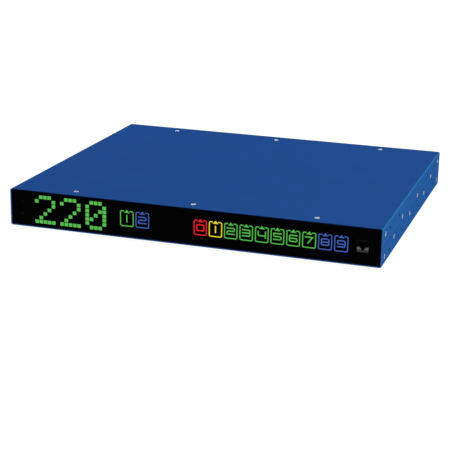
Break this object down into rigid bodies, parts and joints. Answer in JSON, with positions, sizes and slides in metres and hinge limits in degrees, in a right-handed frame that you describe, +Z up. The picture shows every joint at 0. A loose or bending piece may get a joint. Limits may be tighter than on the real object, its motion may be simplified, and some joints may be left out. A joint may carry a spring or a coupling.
{
  "type": "remote power control module",
  "caption": "Low blue rack case that switches power remotely: lit digits and channel icons in front, switched outlets and inlets behind.",
  "frame": {"origin": "on the floor, under the middle of the whole", "axes": "+X to the right as seen from the front, +Y to the rear, +Z up"},
  "size_m": [0.44, 0.3692, 0.0436],
  "materials": {
    "blue_paint": "fine satin powder coat",
    "zinc_steel": "zinc plated",
    "rail_aluminium": "as extruded",
    "window_black": "smoked and polished",
    "connector_plastic": "moulded, fine texture",
    "nickel_plate": "nickel plated",
    "contact_brass": "rolled strip",
    "clear_plastic": "clear, domed end",
    "jack_plastic": "moulded",
    "button_plastic": "moulded",
    "circuit_board": "solder mask over glass laminate",
    "lamp_plastic": "diffusing resin",
    "digit_plastic": "moulded, with pale dots",
    "mask_plastic": "moulded white",
    "relay_plastic": "moulded",
    "component_black": "moulded",
    "choke_core": "ferrite and enamelled wire",
    "suppressor_yellow": "dipped resin",
    "capacitor_sleeve": "shrink sleeve",
    "ribbon_grey": "flat ribbon"
  },
  "bodies": {
    "chassis": {"backup_capacitors": "capacitor_sleeve", "board_links": "contact_brass", "board_posts": "zinc_steel", "button_switches": "component_black", "buzzer": "component_black", "cell_holder": "component_black", "coin_cell": "zinc_steel", "connector_board": "circuit_board", "control_board": "circuit_board", "current_sensors": "component_black", "digit_matrices": "digit_plastic", "display_board": "circuit_board", "display_ribbon": "ribbon_grey", "display_spacers": "zinc_steel", "earth_strap": "contact_brass", "filter_chokes": "choke_core", "front_frame": "zinc_steel", "front_window": "window_black", "icon_lamps": "lamp_plastic", "icon_light_masks": "mask_plastic", "inlet_1": "connector_plastic", "inlet_2": "connector_plastic", "inlet_blades": "nickel_plate", "jack_contacts": "contact_brass", "left_rail": "rail_aluminium", "light_pipes": "clear_plastic", "lower_shell": "blue_paint", "memory_chips": "component_black", "network_jack": "jack_plastic", "outlet_0": "connector_plastic", "outlet_1": "connector_plastic", "outlet_2": "connector_plastic", "outlet_3": "connector_plastic", "outlet_4": "connector_plastic", "outlet_5": "connector_plastic", "outlet_6": "connector_plastic", "outlet_7": "connector_plastic", "outlet_8": "connector_plastic", "outlet_9": "connector_plastic", "outlet_contacts": "contact_brass", "outlet_lamps": "lamp_plastic", "outlet_relays": "relay_plastic", "power_board": "circuit_board", "power_ribbon": "ribbon_grey", "power_supplies": "component_black", "processor": "component_black", "rear_panel": "blue_paint", "ribbon_sockets": "component_black", "right_rail": "rail_aluminium", "side_screws": "zinc_steel", "suppressor_capacitors": "suppressor_yellow", "top_screws": "zinc_steel", "transfer_relays": "relay_plastic", "upper_shell": "blue_paint"},
    "upper_button": {"upper_button": "button_plastic"},
    "lower_button": {"lower_button": "button_plastic"}
  },
  "joints": [
    {"name": "upper_button_press", "type": "slide", "parent": "chassis", "child": "upper_button", "axis": [0, 1, 0], "range_m": [0, 0.0004], "stiffness_N_per_m": 150, "springref_m": -0.001},
    {"name": "lower_button_press", "type": "slide", "parent": "chassis", "child": "lower_button", "axis": [0, 1, 0], "range_m": [0, 0.0004], "stiffness_N_per_m": 150, "springref_m": -0.001}
  ]
}
